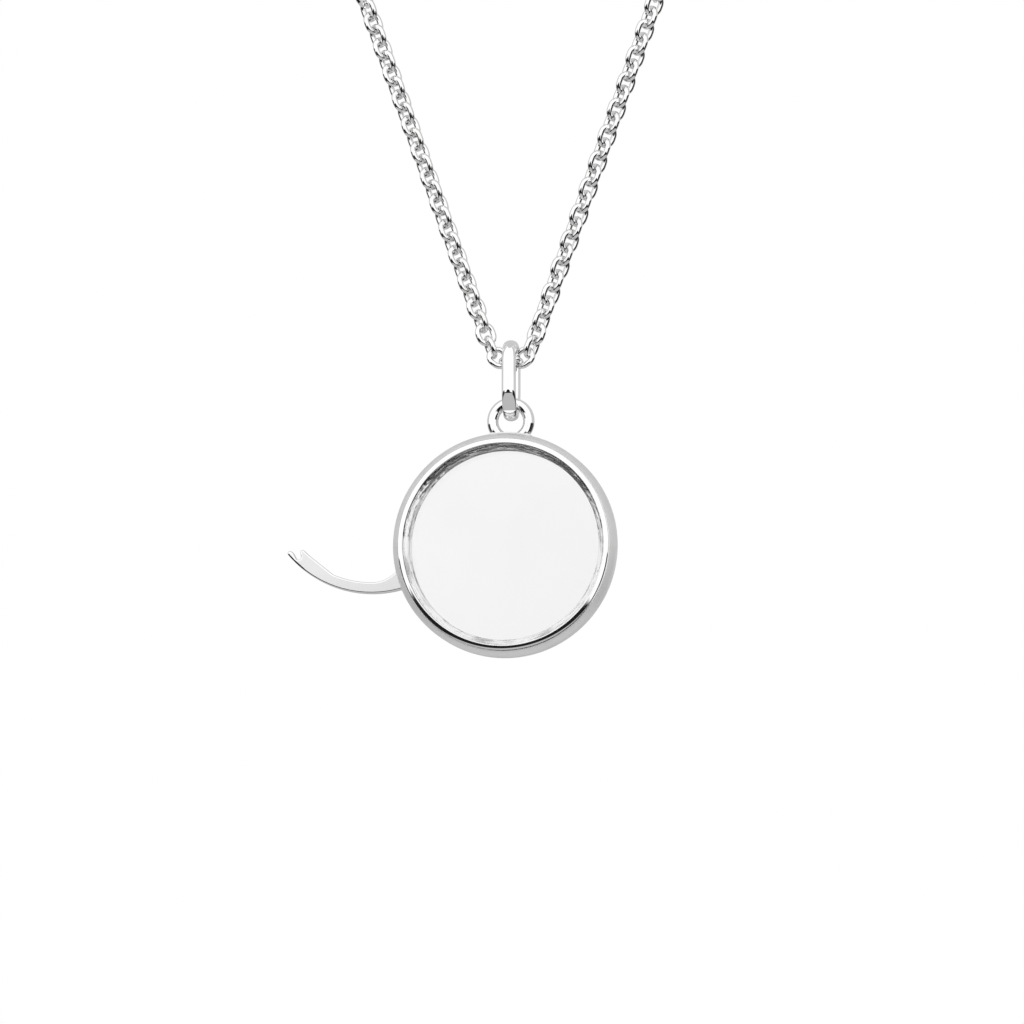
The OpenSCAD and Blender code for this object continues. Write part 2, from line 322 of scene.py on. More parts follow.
# %% [markdown]
# ### Round the rim
# The marks of a burnisher run round the rim. Stretching the pattern along one axis would give
# straight streaks, so the lips read it on coordinates that run outwards and round the case. Those
# that run round are shortened, which draws every spot out into a streak. A place on the circle is
# given by two numbers, so that the pattern has no seam.

# %% Group: round the rim
RIM_R, STREAK = 0.01, 0.1
rim, r_in, r_out = new_group("Round the rim", [("Vector", VECTOR, None)], [("Vector", VECTOR)])
centred = node(rim, "ShaderNodeVectorMath", operation="SUBTRACT")
connect(rim, r_in.outputs["Vector"], centred.inputs[0])
centred.inputs[1].default_value = CASE_CENTRE * MM
apart = node(rim, "ShaderNodeSeparateXYZ")
connect(rim, centred.outputs[0], apart.inputs[0])
squares = [maths(rim, "MULTIPLY", apart.outputs[axis], apart.outputs[axis]) for axis in "XZ"]
outwards = maths(rim, "SQRT", maths(rim, "ADD", *squares))
together = node(rim, "ShaderNodeCombineXYZ")
connect(rim, maths(rim, "ADD", outwards, apart.outputs["Y"]), together.inputs["X"])
for socket, name in (("X", "Y"), ("Z", "Z")):
    share = maths(rim, "DIVIDE", apart.outputs[socket], outwards)
    connect(rim, maths(rim, "MULTIPLY", share, RIM_R * STREAK), together.inputs[name])
connect(rim, together.outputs[0], r_out.inputs["Vector"])
print("group", rim.name)

# %% [markdown]
# ### Four silvers
# One function builds every silver from the groups, so that they differ only in their numbers. The
# satin of the shoulder scatters light like frost. It is only partly metal in the shader, which keeps
# it an even pale grey where a rough mirror would show the dark of the room.


# %% A silver
def silver(name, clean, dull, smoothest, roughest, lines_per_metre=9000.0, clouds_per_metre=420.0,
           height=2e-7, streaks=False, metallic=1.0):
    """A silver whose gloss and colour vary a little."""
    material = bpy.data.materials.new(name)
    material.use_nodes = True
    tree = material.node_tree
    shader = tree.nodes["Principled BSDF"]
    shader.inputs["Metallic"].default_value = metallic
    place = node(tree, "ShaderNodeTexCoord").outputs["Object"]
    if streaks:
        turned = node(tree, "ShaderNodeGroup", node_tree=rim)
        connect(tree, place, turned.inputs["Vector"])
        place = turned.outputs["Vector"]
    buffed = node(tree, "ShaderNodeGroup", node_tree=polish)
    buffed.inputs["Lines per metre"].default_value = lines_per_metre
    buffed.inputs["Clouds per metre"].default_value = clouds_per_metre
    buffed.inputs["Smoothest"].default_value = smoothest
    buffed.inputs["Roughest"].default_value = roughest
    colour = node(tree, "ShaderNodeGroup", node_tree=tarnish)
    colour.inputs["Clouds per metre"].default_value = clouds_per_metre
    colour.inputs["Clean"].default_value = (*clean, 1)
    colour.inputs["Dull"].default_value = (*dull, 1)
    connect(tree, place, buffed.inputs["Vector"])
    connect(tree, place, colour.inputs["Vector"])
    connect(tree, colour.outputs["Color"], shader.inputs["Base Color"])
    connect(tree, buffed.outputs["Roughness"], shader.inputs["Roughness"])
    bump = node(tree, "ShaderNodeBump")
    bump.inputs["Distance"].default_value = height
    connect(tree, buffed.outputs["Height"], bump.inputs["Height"])
    connect(tree, bump.outputs["Normal"], shader.inputs["Normal"])
    return material


# %% Polished, satin, burnished and chain silver
POLISHED = silver("polished_silver", clean=(0.975, 0.975, 0.975), dull=(0.93, 0.93, 0.925),
                  smoothest=0.03, roughest=0.08)
SATIN = silver("satin_shoulder_silver", clean=(0.66, 0.66, 0.66), dull=(0.62, 0.62, 0.62),
               smoothest=0.32, roughest=0.42, metallic=0.25)
LIP = silver("burnished_lip_silver", clean=(0.92, 0.92, 0.92), dull=(0.45, 0.45, 0.45),
             smoothest=0.05, roughest=0.22, lines_per_metre=6000.0, clouds_per_metre=3200.0,
             height=1.1e-4, streaks=True)
CHAIN = silver("chain_silver", clean=(0.97, 0.97, 0.97), dull=(0.90, 0.90, 0.895),
               smoothest=0.04, roughest=0.1)
print("silvers", [material.name for material in (POLISHED, SATIN, LIP, CHAIN)])

# %% [markdown]
# ### Window glass
# Each window is a disc of clear mineral glass. A see-through film would be quicker to render, but
# would not bend light at the bevel. The light passes two discs, so each takes only a few hundredths.
# Fine dust varies its tint by less than an eye would name.

# %% Glass
GLASS = bpy.data.materials.new("window_glass")
GLASS.use_nodes = True
tree = GLASS.node_tree
shader = tree.nodes["Principled BSDF"]
shader.inputs["Transmission Weight"].default_value = 1
shader.inputs["Roughness"].default_value = 0
shader.inputs["IOR"].default_value = 1.5
dust = node(tree, "ShaderNodeGroup", node_tree=tarnish)
dust.inputs["Clean"].default_value = (0.975, 0.975, 0.975, 1)
dust.inputs["Dull"].default_value = (0.966, 0.966, 0.967, 1)
dust.inputs["Clouds per metre"].default_value = 120
connect(tree, node(tree, "ShaderNodeTexCoord").outputs["Object"], dust.inputs["Vector"])
connect(tree, dust.outputs["Color"], shader.inputs["Base Color"])
print("glass", GLASS.name, "IOR", shader.inputs["IOR"].default_value)

# %% [markdown]
# ## Case
# The case is two rings, turned on a lathe, with a side wall soldered between them, which leaves the
# slot for the gate at the left. Cutting the slot out of a full ring would leave ragged faces along
# it. A lathe's work is a section spun round an axis, so one half of the section is drawn and
# mirrored, spun round most of the circle with the wall, and round the slot's stretch without it.

# %% Sizes of the case
CASE_R, SLOT_H, EDGE_H = 11.25, 0.6, 0.08
WALL_IN_R = 9.7
WINDOW_R, BEZEL_R = 10.15, 10.62
CREST_R, CREST_H, BEZEL_ROUND = 10.20, 1.8, 0.73
GROOVE_R, GROOVE_H, SHOULDER_H = 10.69, 1.28, 1.35
BULGE = 1.1
LIP_R, LIP_H, SEAT_R, SEAT_H = 9.57, 0.88, 9.97, 1.02
WALL_FROM, WALL_TO = 205.7, 132.2 + 360
STEP = 1.25
chord = Vector((BEZEL_R - CASE_R, SHOULDER_H - SLOT_H - EDGE_H))
middle = Vector((BEZEL_R + CASE_R, SHOULDER_H + SLOT_H + EDGE_H)) / 2
set_back = sqrt(BULGE ** 2 - chord.length_squared / 4)
BULGE_AT = middle - set_back * Vector((chord.y, -chord.x)) / chord.length
print("centre of the shoulder's bulge", [round(c, 3) for c in BULGE_AT])


# %% Section of one ring, from the inner edge of its underside to the outer one
def ring_line(bm):
    dome = Vector((CREST_R, CREST_H - BEZEL_ROUND))
    dome_from = degrees(asin((WINDOW_R - dome.x) / BEZEL_ROUND))
    dome_to = degrees(asin((BEZEL_R - dome.x) / BEZEL_ROUND))
    dome_low = dome.y + BEZEL_ROUND * cos(radians(dome_from))
    shoulder_from = asin((GROOVE_R - BULGE_AT.x) / BULGE)
    shoulder_top = BULGE_AT.y + BULGE * cos(shoulder_from)
    shoulder_to = asin((CASE_R - BULGE_AT.x) / BULGE)
    return draw(bm, (WALL_IN_R, SLOT_H), [
        (LIP_R, SLOT_H), (LIP_R, LIP_H), (SEAT_R, SEAT_H), (WINDOW_R, SEAT_H), (WINDOW_R, dome_low),
        (dome.x, dome.y, dome_from - dome_to, 12), (BEZEL_R, GROOVE_H), (GROOVE_R, GROOVE_H),
        (GROOVE_R, shoulder_top), (*BULGE_AT, degrees(shoulder_from - shoulder_to), 14),
        (CASE_R, SLOT_H)], close=False)


def case_section(with_wall):
    """Both rings' sections in the XZ plane, joined by the wall's two sides or closed below."""
    bm = bmesh.new()
    line = ring_line(bm)
    copies = bmesh.ops.duplicate(bm, geom=bm.verts[:] + bm.edges[:])["vert_map"]
    outer_end = Vector((CASE_R, SLOT_H, 0))
    ends = [line[0], next(v for v in line if (v.co - outer_end).length < 1e-3)]
    twins = [copies[v] for v in ends]
    bmesh.ops.scale(bm, verts=[copies[v] for v in line], vec=(1, -1, 1))
    pairs = zip(ends, twins) if with_wall else (ends, twins)
    for a, b in pairs:
        bm.edges.new((a, b))
    bmesh.ops.rotate(bm, verts=bm.verts, cent=(0, 0, 0),
                     matrix=Matrix.Rotation(radians(90), 3, "X"))
    return bm


# %% Spin the sections round the case
def spun(bm, start, turn):
    """Turns a section round the case's axis, by part of a circle."""
    bmesh.ops.rotate(bm, verts=bm.verts, cent=(0, 0, 0),
                     matrix=Matrix.Rotation(radians(start), 3, "Z"))
    bmesh.ops.spin(bm, geom=bm.verts[:] + bm.edges[:], cent=(0, 0, 0), axis=(0, 0, 1),
                   angle=radians(turn), steps=round(turn / STEP))
    mesh = bpy.data.meshes.new("stretch")
    bm.to_mesh(mesh)
    bm.free()
    return mesh


wall_turn = WALL_TO - WALL_FROM
with_wall = spun(case_section(True), WALL_FROM, wall_turn)
at_slot = spun(case_section(False), WALL_TO, 360 - wall_turn)
case = bmesh.new()
for stretch in (with_wall, at_slot):
    case.from_mesh(stretch)
    bpy.data.meshes.remove(stretch)
bmesh.ops.remove_doubles(case, verts=case.verts, dist=1e-3)
ends = [e for e in case.edges if e.is_boundary]
bmesh.ops.holes_fill(case, edges=ends, sides=4)
bmesh.ops.recalc_face_normals(case, faces=case.faces)
loose = sum(e.is_wire for e in case.edges)
print("wall ends closed from", len(ends), "open edges;", loose, "loose")

# %% [markdown]
# A real edge is never a knife's edge: each catches a line of light. The material could only pretend
# that, and the outline would stay hard, so there is a real bevel of two hundredths of a millimetre.
# Then each face takes its finish by where it is: the burnished lip under the glass, the polished
# bezel, the satin shoulder.

# %% Edges and finishes of the case
EDGE_BEVEL = 0.022
SATIN_FROM, LIP_TO = BEZEL_R + 0.04, WINDOW_R - 0.02
FINISHES = [POLISHED, SATIN, LIP]
soften_edges(case, EDGE_BEVEL, segments=2, limit=30)
for face in case.faces:
    spot = face.calc_center_median()
    r = hypot(spot.x, spot.y)
    finish = SATIN if r > SATIN_FROM else LIP if r < LIP_TO else POLISHED
    face.material_index = FINISHES.index(finish)
finish_piece(case, "locket_case", "locket", IN_CASE, FINISHES, ["locket_frame"])

# %% [markdown]
# ## Hanging loop
# The loop is a ring of round wire soldered to the top of the rim. Solder fills the corners beside
# its feet and spreads as a flat saddle. Blender has a ready torus, but a circle spun round an axis
# shows how one is made. Each foot is a short tapered post, and the saddle a stretch of ring.

# %% Hanging loop
LOOP_UP, LOOP_R, LOOP_WIRE = 12.5, 1.82, 1.14
loop = bmesh.new()
wire = bmesh.ops.create_circle(loop, segments=40, radius=LOOP_WIRE / 2)["verts"]
bmesh.ops.rotate(loop, verts=wire, cent=(0, 0, 0), matrix=Matrix.Rotation(radians(90), 3, "X"))
bmesh.ops.translate(loop, verts=wire, vec=(LOOP_R, 0, 0))
bmesh.ops.spin(loop, geom=loop.verts[:] + loop.edges[:], cent=(0, 0, 0), axis=(0, 0, 1),
               angle=2 * pi, steps=128, use_merge=True)
bmesh.ops.translate(loop, verts=loop.verts, vec=(0, LOOP_UP, 0))
finish_piece(loop, "hanging_loop", "locket", IN_CASE, [POLISHED], ["locket_frame"])

# %% Solder feet and saddle
FOOT_X, FOOT_LOW, FOOT_HIGH = 1.6, 10.6, 11.95
FOOT_R_LOW, FOOT_R_HIGH = 0.51, 0.42
SADDLE_W, SADDLE_T, SADDLE_D = 4.3, 0.12, 1.3
SOLDER_ROUND = 0.05
solder = bmesh.new()
for side in (-1, 1):
    foot = bmesh.ops.create_cone(solder, cap_ends=True, segments=32, radius1=FOOT_R_LOW,
                                 radius2=FOOT_R_HIGH, depth=FOOT_HIGH - FOOT_LOW)["verts"]
    bmesh.ops.rotate(solder, verts=foot, cent=(0, 0, 0),
                     matrix=Matrix.Rotation(radians(-90), 3, "X"))
    bmesh.ops.translate(solder, verts=foot, vec=(side * FOOT_X, (FOOT_LOW + FOOT_HIGH) / 2, 0))
half_at = degrees(asin(SADDLE_W / 2 / CASE_R))
strip = draw(solder, polar(CASE_R - 2 * SADDLE_T, 90 - half_at), [
    polar(CASE_R + SADDLE_T, 90 - half_at), (0, 0, 2 * half_at, 16),
    polar(CASE_R - 2 * SADDLE_T, 90 + half_at), (0, 0, -2 * half_at, 16)])
strip = [v for v in strip if v.is_valid]
strip_edges = list({e for v in strip for e in v.link_edges})
bmesh.ops.contextual_create(solder, geom=strip_edges)
strip_faces = [f for f in solder.faces if all(v in strip for v in f.verts)]
raised = verts_of(bmesh.ops.extrude_face_region(solder, geom=strip_faces)["geom"])
bmesh.ops.translate(solder, verts=raised, vec=(0, 0, SADDLE_D / 2))
bmesh.ops.translate(solder, verts=strip, vec=(0, 0, -SADDLE_D / 2))
soften_edges(solder, SOLDER_ROUND, limit=50)
finish_piece(solder, "solder_saddle", "locket", IN_CASE, [POLISHED], ["locket_frame"])

# %% [markdown]
# ## Windows
# A window is a flat disc with a narrow bevel round its outer face, held by the rim burnished over it.
# It could be spun like the case, but a disc is quicker made from a filled circle, which is extruded
# and has one of its edges bevelled. The back window is its mirror image.

# %% Two windows
GLASS_R, GLASS_T, GLASS_TOP, GLASS_BEVEL = 10.12, 0.5, 1.55, 0.12


def window(name, side, replaced):
    bm = bmesh.new()
    bmesh.ops.create_circle(bm, cap_ends=True, segments=240, radius=GLASS_R)
    bmesh.ops.translate(bm, verts=bm.verts, vec=(0, 0, GLASS_TOP - GLASS_T))
    top = bmesh.ops.extrude_face_region(bm, geom=bm.faces[:])["geom"]
    bmesh.ops.translate(bm, verts=verts_of(top), vec=(0, 0, GLASS_T))
    outer = [e for e in bm.edges if all(v.co.z > GLASS_TOP - 0.01 for v in e.verts)]
    bmesh.ops.bevel(bm, geom=outer, offset=GLASS_BEVEL, segments=1, profile=0.5,
                    affect="EDGES", material=-1)
    if side < 0:
        bmesh.ops.scale(bm, verts=bm.verts, vec=(1, 1, -1))
    finish_piece(bm, name, "locket", IN_CASE, [GLASS], [replaced])


window("front_window", 1, "front_glass")
window("back_window", -1, "back_glass")

# %% [markdown]
# ## Gate
# The gate is a curved bar cut from a plate. Its root is thick and holds the hinge, its far end is a
# fork that grips the catch pin. The outline is drawn closed, along the rim, filled and given its
# thickness. A bevel could round its edges, but small insets, each a little higher than the last,
# give even rows all along the outline. Then the hinge's bore is carved, and the gate swung open
# round it.

# %% Outline of the gate
GATE_R, HINGE_R, HINGE_AT = 11.23, 10.69, 202.4
ROOT_IN_R, ARM_IN_R, ARM_TO = 9.38, 10.1, 161
FLARE_AT, FLARE_FROM, FLARE_TO, FLARE_TURN = polar(6.67, 183.4), 186.0, 198.9, -36.4
FORK_IN_R, FORK_FROM = 9.75, 143.5
INNER_TIP_AT, INNER_TIP_R, INNER_JAW = 139.0, 9.97, 0.22
OUTER_TIP_AT, OUTER_JAW, OUTER_JAW_FROM = 134.8, 0.25, 136.2
NOTCH_AT, NOTCH_R, NOTCH_WAY = polar(10.62, 139.3), 0.27, radians(24.3)
hinge = polar(HINGE_R, HINGE_AT)
inner_tip = polar(INNER_TIP_R, INNER_TIP_AT)
notch_start = (NOTCH_AT[0] + NOTCH_R * sin(NOTCH_WAY), NOTCH_AT[1] - NOTCH_R * cos(NOTCH_WAY))
outer_tip = polar(GATE_R - OUTER_JAW, OUTER_TIP_AT)
gate = bmesh.new()
draw(gate, polar(GATE_R, OUTER_TIP_AT), [
    (0, 0, HINGE_AT - OUTER_TIP_AT, 48),
    (*hinge, 180, 20),
    polar(ROOT_IN_R, HINGE_AT),
    (0, 0, FLARE_TO - HINGE_AT, 4),
    (*FLARE_AT, FLARE_TURN, 16),
    polar(ARM_IN_R, FLARE_FROM),
    (0, 0, ARM_TO - FLARE_FROM, 18),
    polar(FORK_IN_R, FORK_FROM),
    polar(INNER_TIP_R - INNER_JAW, INNER_TIP_AT),
    (*inner_tip, 140, 12),
    notch_start,
    (*NOTCH_AT, -180, 12),
    polar(GATE_R - 2 * OUTER_JAW, OUTER_JAW_FROM),
    polar(GATE_R - 2 * OUTER_JAW, OUTER_TIP_AT),
    (*outer_tip, 180, 12)])
bmesh.ops.contextual_create(gate, geom=gate.edges[:])
print("gate's face", round(sum(f.calc_area() for f in gate.faces), 2), "mm2")

# %% Thickness and rounded edges
GATE_T, EDGE_ROUND, EDGE_STEPS = 1.14, 0.17, 5
flat_half = GATE_T / 2 - EDGE_ROUND
bmesh.ops.translate(gate, verts=gate.verts, vec=(0, 0, -flat_half))
lifted = bmesh.ops.extrude_face_region(gate, geom=gate.faces[:])["geom"]
bmesh.ops.translate(gate, verts=verts_of(lifted), vec=(0, 0, 2 * flat_half))
bmesh.ops.recalc_face_normals(gate, faces=gate.faces)
for face in [f for f in gate.faces if abs(f.normal.z) > 0.99]:
    for step in range(EDGE_STEPS):
        a, b = step * pi / 2 / EDGE_STEPS, (step + 1) * pi / 2 / EDGE_STEPS
        bmesh.ops.inset_region(gate, faces=[face], thickness=EDGE_ROUND * (cos(a) - cos(b)),
                               depth=EDGE_ROUND * (sin(b) - sin(a)), use_even_offset=True)
print("gate's volume before the bore", round(gate.calc_volume(), 2), "mm3")

# %% Hinge's bore and the open place
BORE_R, GATE_OPEN = 0.28, 88
bore = bmesh.new()
bmesh.ops.create_cone(bore, cap_ends=True, segments=32, radius1=BORE_R, radius2=BORE_R, depth=2)
bmesh.ops.translate(bore, verts=bore.verts, vec=(*hinge, 0))
gate = carved(gate, bore)
bmesh.ops.translate(gate, verts=gate.verts, vec=(-hinge[0], -hinge[1], 0))
bmesh.ops.rotate(gate, verts=gate.verts, cent=(0, 0, 0),
                 matrix=Matrix.Rotation(radians(GATE_OPEN), 3, "Z"))
bmesh.ops.translate(gate, verts=gate.verts, vec=(*hinge, 0))
finish_piece(gate, "side_gate", "gate", IN_CASE, [POLISHED], ["gate"])

# %% [markdown]
# ## Pins
# A hinge pin and a catch pin are let into both rings. Each is a short turned rod with a slightly
# rounded end. A ready cylinder would do as well, but an extruded circle says outright from where to
# where the pin goes.

# %% Hinge pin and catch pin
PIN_DEEP, PIN_BEVEL = 0.35, 0.04
PIN_HALF = SLOT_H + PIN_DEEP
HINGE_PIN_R, CATCH_PIN_R = 0.25, 0.22
CATCH_R, CATCH_AT = 10.47, 137.35


def pin(name, r, distance, at, replaced):
    """A rod across the slot, at a distance and an angle from the middle of the case."""
    bm = bmesh.new()
    bmesh.ops.create_circle(bm, cap_ends=True, segments=32, radius=r)
    bmesh.ops.translate(bm, verts=bm.verts, vec=(*polar(distance, at), -PIN_HALF))
    far = bmesh.ops.extrude_face_region(bm, geom=bm.faces[:])["geom"]
    bmesh.ops.translate(bm, verts=verts_of(far), vec=(0, 0, 2 * PIN_HALF))
    bmesh.ops.recalc_face_normals(bm, faces=bm.faces)
    soften_edges(bm, PIN_BEVEL, limit=60)
    finish_piece(bm, name, "locket", IN_CASE, [POLISHED], [replaced])


pin("hinge_rod", HINGE_PIN_R, HINGE_R, HINGE_AT, "hinge_pin")
pin("catch_rod", CATCH_PIN_R, CATCH_R, CATCH_AT, "catch_pin")

# %% [markdown]
# ## Bail
# The bail is a closed link of thick wire with an oval section. It goes round the chain above and
# through the loop below, where it is drawn in to a narrow oval. A bevelled curve would give the same
# form, but its arcs would have to be matched with handles. So the section is carried round the whole
# link by spins and straight pulls.

# %% Bail's section and way
BAIL_W, BAIL_T, BAIL_R = 1.44, 1.05, 1.65
BAIL_END_H, BAIL_END_R = 2.67, 1.1
CHAIN_LOW = Vector(JOINTS["bail_swing"]["pos_m"]).z / MM
LIMB = CHAIN_LOW - PIVOT.z - BAIL_END_H
side_square = BAIL_R ** 2 + BAIL_END_H ** 2 - 2 * BAIL_END_H * BAIL_END_R
SIDE_R = side_square / (2 * (BAIL_R - BAIL_END_R))
SIDE_TURN = degrees(atan2(BAIL_END_H - BAIL_END_R, SIDE_R - BAIL_R))
print("bail: limbs", round(LIMB, 2), "mm, then drawn in by", round(SIDE_TURN, 1), "degrees")


def pull(bm, edges, vec):
    """Extrudes a ring of edges straight on. Returns the new ring."""
    made = bmesh.ops.extrude_edge_only(bm, edges=edges)["geom"]
    bmesh.ops.translate(bm, verts=verts_of(made), vec=vec)
    return [g for g in made if isinstance(g, bmesh.types.BMEdge) and all(v in made for v in g.verts)]


def bend(bm, edges, centre, axis, turn, steps):
    """Spins a ring of edges round a centre. Returns the new ring."""
    verts = list({v for e in edges for v in e.verts})
    last = bmesh.ops.spin(bm, geom=verts + edges, cent=centre, axis=axis, angle=radians(turn),
                          steps=steps)["geom_last"]
    return [g for g in last if isinstance(g, bmesh.types.BMEdge)]


# %% Sweep the bail
bail = bmesh.new()
bmesh.ops.create_circle(bail, segments=48, radius=0.5)
bmesh.ops.scale(bail, verts=bail.verts, vec=(BAIL_W, BAIL_T, 1))
bmesh.ops.translate(bail, verts=bail.verts, vec=(0, -BAIL_R, 0))
ring = bail.edges[:]
RIGHT = (1, 0, 0)
side_in, end_at = SIDE_R - BAIL_R, -LIMB - BAIL_END_H + BAIL_END_R
ring = bend(bail, ring, (0, 0, 0), RIGHT, -180, 48)
ring = pull(bail, ring, (0, 0, -LIMB))
ring = bend(bail, ring, (0, -side_in, -LIMB), RIGHT, -SIDE_TURN, 12)
ring = bend(bail, ring, (0, 0, end_at), RIGHT, -2 * (90 - SIDE_TURN), 32)
ring = bend(bail, ring, (0, side_in, -LIMB), RIGHT, -SIDE_TURN, 12)
ring = pull(bail, ring, (0, 0, LIMB))
AT_BAIL = MILLIMETRES @ Matrix.Translation((0, 0, CHAIN_LOW))
print("bail's rings", len(bail.verts) // 48)

# %% [markdown]
# Low on the front, the limb is filed to a slanting facet, which ends on a small rest above the round
# bottom. Moved points would leave it slightly bent, and a cut leaves it flat. So the file's way, seen
# from the side, is drawn as a closed line, given a width and carved out of the bail. It starts with
# a curve, so that the facet leaves the front without an edge.

# %% Filed facet
FILE_TILT, FILE_FROM, FILE_TO, FILE_ROUND, DEPTH_IN = 28, 2.42, 0.43, 0.7, 0.002
FACET_BEVEL = 0.03
front = -BAIL_R - BAIL_T / 2 + DEPTH_IN
slope = radians(FILE_TILT)
facet_y = front + FILE_ROUND * (1 - cos(slope))
facet_h = FILE_FROM - FILE_ROUND * sin(slope)
rest = Vector((facet_y + (facet_h - FILE_TO) * tan(slope), FILE_TO))
rest_end = rest - Vector((sin(slope), cos(slope)))
file_way = bmesh.new()
draw(file_way, (front, FILE_FROM), [
    (front + FILE_ROUND, FILE_FROM, FILE_TILT, 10),
    tuple(rest),
    tuple(rest_end),
    (2 * front, rest_end.y),
    (2 * front, FILE_FROM)])
bmesh.ops.contextual_create(file_way, geom=file_way.edges[:])
widened = bmesh.ops.extrude_face_region(file_way, geom=file_way.faces[:])["geom"]
bmesh.ops.translate(file_way, verts=verts_of(widened), vec=(0, 0, 2 * BAIL_W))
bmesh.ops.translate(file_way, verts=file_way.verts, vec=(0, 0, -BAIL_W))
FROM_THE_SIDE = Matrix(((0, 0, 1, 0), (1, 0, 0, 0), (0, 1, 0, 0), (0, 0, 0, 1)))
to_pivot = Matrix.Translation((0, 0, PIVOT.z - CHAIN_LOW))
bmesh.ops.transform(file_way, matrix=to_pivot @ FROM_THE_SIDE, verts=file_way.verts)
bmesh.ops.recalc_face_normals(file_way, faces=file_way.faces)
bmesh.ops.remove_doubles(bail, verts=bail.verts, dist=1e-4)
bmesh.ops.recalc_face_normals(bail, faces=bail.faces)
bail = carved(bail, file_way)
soften_edges(bail, FACET_BEVEL, segments=2, limit=35)
finish_piece(bail, "oval_bail", "bail", AT_BAIL, [POLISHED], ["bail"])

# %% [markdown]
# ## Chain
# A cable chain: round wire bent to nearly round links, each soldered shut and turned a quarter turn
# to the next. A link is one circle carried round two half turns and two short straights. An array
# led along a curve would bend the links themselves, so the same link is set again and again along
# the chain's way, each resting in the end of the one before. The bail's pull turns the links beside
# it a little further towards the viewer, which fades out over the next few.

# %% The chain's way, counted from the bottom of the bail's bow
CHAIN_LEN, CLASP_LEN, CLASP_D = 450, 8, 2.6
CHAIN_LEAN, CHAIN_FOOT, CHAIN_BEND = radians(19.8), 3.1, 1.7
BEND_TURN = pi / 2 - CHAIN_LEAN
bend_saving = CHAIN_BEND * (2 * tan(BEND_TURN / 2) - BEND_TURN)
to_a_point = CHAIN_LEN + 2 * bend_saving + CHAIN_FOOT / sin(CHAIN_LEAN) - CHAIN_FOOT
NECK_R = to_a_point / (pi + 2 * CHAIN_LEAN + 2 / tan(CHAIN_LEAN))
NECK_Z = CLASP_D / 2 - NECK_R
FLAT = CHAIN_FOOT / 2 - CHAIN_BEND * tan(BEND_TURN / 2)


def on_bend(turn):
    """Point (x, z) of the bend beside the bail."""
    return Vector((FLAT + CHAIN_BEND * sin(turn), CHAIN_LOW + CHAIN_BEND * (1 - cos(turn))))


BEND_END = on_bend(BEND_TURN)
NECK_START = Vector((NECK_R * cos(CHAIN_LEAN), NECK_Z - NECK_R * sin(CHAIN_LEAN)))
SIDE_LEN = (NECK_START - BEND_END).length
print("chain: round the neck at", round(NECK_R, 2), "mm, straight for", round(SIDE_LEN, 2), "mm")


def on_way(s):
    """Point (x, z) of the chain's right half, s millimetres from the bottom."""
    if s < FLAT:
        return Vector((s, CHAIN_LOW))
    if s < FLAT + CHAIN_BEND * BEND_TURN:
        return on_bend((s - FLAT) / CHAIN_BEND)
    s -= FLAT + CHAIN_BEND * BEND_TURN
    if s < SIDE_LEN:
        return BEND_END.lerp(NECK_START, s / SIDE_LEN)
    turn = (s - SIDE_LEN) / NECK_R - CHAIN_LEAN
    return Vector((NECK_R * cos(turn), NECK_Z + NECK_R * sin(turn)))


# %% Where the links touch one another
PITCH, FINE_STEP = 1.403, 0.005
contacts = [Vector((PITCH / 2, CHAIN_LOW))]
s = PITCH / 2
half_way = (CHAIN_LEN - CLASP_LEN) / 2 + PITCH
while True:
    while s < half_way and (on_way(s) - contacts[-1]).length < PITCH:
        s += FINE_STEP
    if s >= half_way:
        break
    contacts.append(on_way(s))
places = [(Vector((0, CHAIN_LOW)), 0.0)]
for a, b in zip(contacts, contacts[1:]):
    heading = atan2(b.y - a.y, b.x - a.x)
    places.append(((a + b) / 2, heading))
last_at = round(contacts[-1].x, 2)
print(2 * len(places) - 1, "links; the last ends", last_at, "mm beside the clasp's middle")

# %% One link
WIRE_R, LINK_W = 0.28, 2.16


def link_mesh(sides, steps):
    """A link in the XY plane, with its length along X."""
    bm = bmesh.new()
    turn_r = LINK_W / 2 - WIRE_R
    straight = PITCH + 4 * WIRE_R - LINK_W
    bmesh.ops.create_circle(bm, segments=sides, radius=WIRE_R)
    bmesh.ops.rotate(bm, verts=bm.verts, cent=(0, 0, 0),
                     matrix=Matrix.Rotation(radians(90), 3, "Y"))
    bmesh.ops.translate(bm, verts=bm.verts, vec=(straight / 2, -turn_r, 0))
    ring = bm.edges[:]
    for side in (1, -1):
        ring = bend(bm, ring, (side * straight / 2, 0, 0), (0, 0, 1), 180, steps)
        ring = pull(bm, ring, (-side * straight, 0, 0))
    bmesh.ops.remove_doubles(bm, verts=bm.verts, dist=1e-3)
    mesh = bpy.data.meshes.new("link")
    bm.to_mesh(mesh)
    bm.free()
    return mesh


fine_link, plain_link = link_mesh(14, 12), link_mesh(6, 4)
print("faces of a link", len(fine_link.polygons), "or", len(plain_link.polygons))

# %% The strand
NEAR_LINKS, TWISTED_LINKS, EXTRA_TWIST = 29, 6, 25


